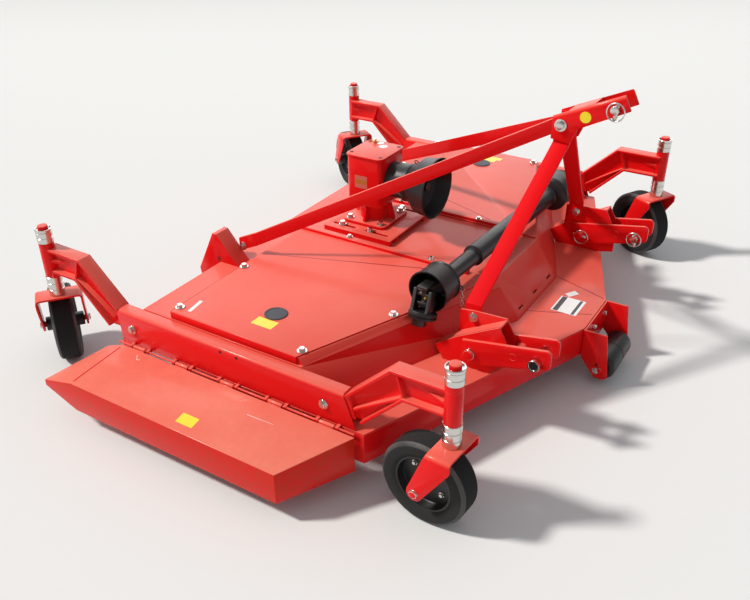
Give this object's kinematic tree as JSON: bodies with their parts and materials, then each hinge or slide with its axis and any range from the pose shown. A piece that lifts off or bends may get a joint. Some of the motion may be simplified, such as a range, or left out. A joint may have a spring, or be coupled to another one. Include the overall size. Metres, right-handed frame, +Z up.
{
  "type": "finishing mower",
  "caption": "Tractor-mounted finishing mower deck on caster wheels, with raked hitch frame, gearbox, hinged side deflector, front roller and blades below.",
  "frame": {"origin": "middle of the machine's footprint box, on the ground plane that the tyres stand on", "axes": "+X forward towards the tractor, +Y to the machine's left, +Z up"},
  "size_m": [1.8142, 2.1752, 0.9462],
  "materials": {
    "red_paint": "glossy bright red enamel",
    "tyre_rubber": "ribbed solid black tyre rubber, dull",
    "black_plastic": "black moulded plastic, half matt",
    "zinc_steel": "bright zinc-plated steel",
    "bare_steel": "dark bare steel with a light oil film"
  },
  "bodies": {
    "root": {"deck_plate": "red_paint", "deck_skirt": "red_paint", "belt_box": "red_paint", "cover_right": "red_paint", "cover_left": "red_paint", "rail_right": "red_paint", "rail_left": "red_paint", "arm_fr": "red_paint", "arm_fl": "red_paint", "arm_rr": "red_paint", "arm_rl": "red_paint", "chute_hinge_rod": "red_paint", "brace_bracket_right": "red_paint", "brace_bracket_left": "red_paint", "brace_right": "red_paint", "brace_left": "red_paint", "a_frame_leg_right": "red_paint", "a_frame_leg_left": "red_paint", "top_hitch_head": "red_paint", "top_pin": "zinc_steel", "hitch_bracket_right": "red_paint", "hitch_bracket_left": "red_paint", "lower_clevis_right": "red_paint", "lower_clevis_left": "red_paint", "lower_pin_right": "zinc_steel", "lower_pin_left": "zinc_steel", "gearbox_mount": "red_paint", "gearbox": "red_paint", "gearbox_lid": "red_paint", "input_guard": "black_plastic", "drive_shaft_guard": "black_plastic", "drive_shaft_yoke_near": "bare_steel", "drive_shaft_yoke_far": "bare_steel", "roller_bracket": "red_paint", "spindle_centre": "red_paint", "spindle_right": "red_paint", "spindle_left": "red_paint"},
    "caster_fr": {"fork_fr": "red_paint", "kingpin_fr": "zinc_steel"},
    "caster_fl": {"fork_fl": "red_paint", "kingpin_fl": "zinc_steel"},
    "caster_rr": {"fork_rr": "red_paint", "kingpin_rr": "zinc_steel"},
    "caster_rl": {"fork_rl": "red_paint", "kingpin_rl": "zinc_steel"},
    "wheel_fr": {"tyre_fr": "tyre_rubber", "rim_fr": "black_plastic"},
    "wheel_fl": {"tyre_fl": "tyre_rubber", "rim_fl": "black_plastic"},
    "wheel_rr": {"tyre_rr": "tyre_rubber", "rim_rr": "black_plastic"},
    "wheel_rl": {"tyre_rl": "tyre_rubber", "rim_rl": "black_plastic"},
    "deflector": {"chute": "red_paint"},
    "front_roller": {"roller": "black_plastic"},
    "input": {"input_shaft": "bare_steel"},
    "cutter_centre": {"blade_centre": "bare_steel"},
    "cutter_right": {"blade_right": "bare_steel"},
    "cutter_left": {"blade_left": "bare_steel"}
  },
  "joints": [
    {"name": "caster_fr_swivel", "type": "hinge", "parent": "root", "child": "caster_fr", "pos_m": [0.72662, -0.85364, 0.2747], "axis": [0, 0, 1], "continuous": true},
    {"name": "caster_fl_swivel", "type": "hinge", "parent": "root", "child": "caster_fl", "pos_m": [0.72662, 0.94636, 0.2747], "axis": [0, 0, 1], "continuous": true},
    {"name": "caster_rr_swivel", "type": "hinge", "parent": "root", "child": "caster_rr", "pos_m": [-0.73538, -0.85364, 0.2747], "axis": [0, 0, 1], "continuous": true},
    {"name": "caster_rl_swivel", "type": "hinge", "parent": "root", "child": "caster_rl", "pos_m": [-0.73538, 0.94636, 0.2747], "axis": [0, 0, 1], "continuous": true},
    {"name": "wheel_fr_spin", "type": "hinge", "parent": "caster_fr", "child": "wheel_fr", "pos_m": [0.66378, -0.84925, 0.12939], "axis": [0.0698, 0.9976, 0], "continuous": true},
    {"name": "wheel_fl_spin", "type": "hinge", "parent": "caster_fl", "child": "wheel_fl", "pos_m": [0.671, 0.97593, 0.12939], "axis": [0.4695, 0.8829, 0], "continuous": true},
    {"name": "wheel_rr_spin", "type": "hinge", "parent": "caster_rr", "child": "wheel_rr", "pos_m": [-0.78502, -0.81486, 0.12939], "axis": [0.6157, 0.788, 0], "continuous": true},
    {"name": "wheel_rl_spin", "type": "hinge", "parent": "caster_rl", "child": "wheel_rl", "pos_m": [-0.78569, 0.98427, 0.12939], "axis": [0.6018, 0.7986, 0], "continuous": true},
    {"name": "deflector_lift", "type": "hinge", "parent": "root", "child": "deflector", "pos_m": [-0.00438, -0.88064, 0.20189], "axis": [-1, 0, 0], "range_deg": [0, 90]},
    {"name": "roller_spin", "type": "hinge", "parent": "root", "child": "front_roller", "pos_m": [0.86362, 0.04636, 0.06839], "axis": [0, 1, 0], "continuous": true},
    {"name": "cutter_centre_spin", "type": "hinge", "parent": "root", "child": "cutter_centre", "pos_m": [0.45062, 0.04636, 0.12], "axis": [0, 0, -1], "continuous": true},
    {"name": "cutter_right_spin", "type": "hinge", "parent": "root", "child": "cutter_right", "pos_m": [-0.02438, -0.54364, 0.12], "axis": [0, 0, -1], "continuous": true},
    {"name": "cutter_left_spin", "type": "hinge", "parent": "root", "child": "cutter_left", "pos_m": [-0.02438, 0.63636, 0.12], "axis": [0, 0, -1], "continuous": true},
    {"name": "input_spin", "type": "hinge", "parent": "root", "child": "input", "pos_m": [-0.00438, 0.04636, 0.51739], "axis": [1, 0, 0], "continuous": true}
  ],
  "couplings": [
    {"joint": "cutter_right_spin", "follows": "cutter_centre_spin", "ratio": 1},
    {"joint": "cutter_left_spin", "follows": "cutter_centre_spin", "ratio": 1},
    {"joint": "input_spin", "follows": "cutter_centre_spin", "ratio": 0.2}
  ]
}
